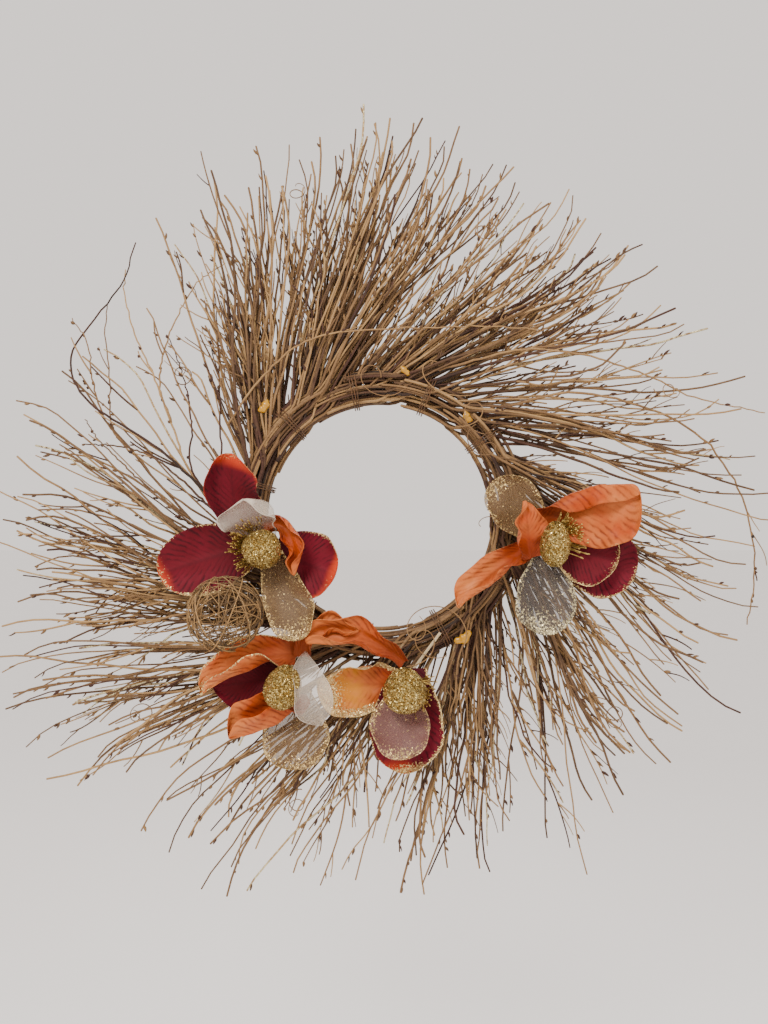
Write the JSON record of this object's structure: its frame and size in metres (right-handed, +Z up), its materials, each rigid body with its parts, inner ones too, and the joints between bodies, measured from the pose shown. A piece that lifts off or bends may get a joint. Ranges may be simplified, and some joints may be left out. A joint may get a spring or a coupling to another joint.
{
  "type": "harvest door wreath",
  "caption": "Pinwheel twig wreath on a wire ring, with fabric petal flowers in burgundy and orange, sheer petals, gold glitter eggs and a raffia ball.",
  "frame": {"origin": "hang point: the inner edge of the twig ring at the top, half way through the ring's depth", "axes": "+Z up, -Y is the front that faces the viewer, +X to the viewer's right"},
  "size_m": [0.7798, 0.1205, 0.7831],
  "materials": {
    "twigs": "dry bark, matt",
    "binding_wire": "dark annealed",
    "ring_wire": "dark annealed",
    "burgundy_fabric": "matt, veined",
    "orange_fabric": "satin, veined",
    "sheer_white_fabric": "sheer",
    "sheer_brown_fabric": "sheer with glitter",
    "gold_glitter": "glitter coated",
    "gold_filament": "metallic gold",
    "pick_stalk": "matt",
    "raffia": "dry fibre, matt"
  },
  "bodies": {
    "root": {"twig_bundle_01": "twigs", "twig_bundle_02": "twigs", "twig_bundle_03": "twigs", "twig_bundle_04": "twigs", "twig_bundle_05": "twigs", "twig_bundle_06": "twigs", "twig_bundle_07": "twigs", "twig_bundle_08": "twigs", "twig_bundle_09": "twigs", "twig_bundle_10": "twigs", "twig_bundle_11": "twigs", "tie_wire_01": "binding_wire", "tie_wire_02": "binding_wire", "tie_wire_03": "binding_wire", "tie_wire_04": "binding_wire", "tie_wire_05": "binding_wire", "tie_wire_06": "binding_wire", "tie_wire_07": "binding_wire", "tie_wire_08": "binding_wire", "tie_wire_09": "binding_wire", "tie_wire_10": "binding_wire", "tie_wire_11": "binding_wire", "wire_ring": "ring_wire", "left_burgundy_side": "burgundy_fabric", "left_burgundy_top": "burgundy_fabric", "left_burgundy_inner": "burgundy_fabric", "low_burgundy": "burgundy_fabric", "middle_burgundy": "burgundy_fabric", "right_burgundy_front": "burgundy_fabric", "right_burgundy_back": "burgundy_fabric", "left_orange_curl": "orange_fabric", "low_orange_side": "orange_fabric", "low_orange_bottom": "orange_fabric", "low_orange_top": "orange_fabric", "middle_orange_gold": "orange_fabric", "middle_orange_long": "orange_fabric", "right_orange_large": "orange_fabric", "right_orange_small": "orange_fabric", "right_orange_narrow": "orange_fabric", "left_sheer_white": "sheer_white_fabric", "low_sheer_white": "sheer_white_fabric", "left_sheer_brown": "sheer_brown_fabric", "low_sheer_brown": "sheer_brown_fabric", "middle_sheer_mauve": "sheer_brown_fabric", "right_sheer_grey": "sheer_brown_fabric", "right_sheer_brown": "sheer_brown_fabric", "left_egg": "gold_glitter", "low_egg": "gold_glitter", "middle_egg": "gold_glitter", "right_egg": "gold_glitter", "left_stamens": "gold_filament", "middle_stamens": "gold_filament", "right_stamens": "gold_filament", "left_pick": "pick_stalk", "low_pick": "pick_stalk", "middle_pick": "pick_stalk", "right_pick": "pick_stalk", "raffia_ball": "raffia"}
  },
  "joints": []
}
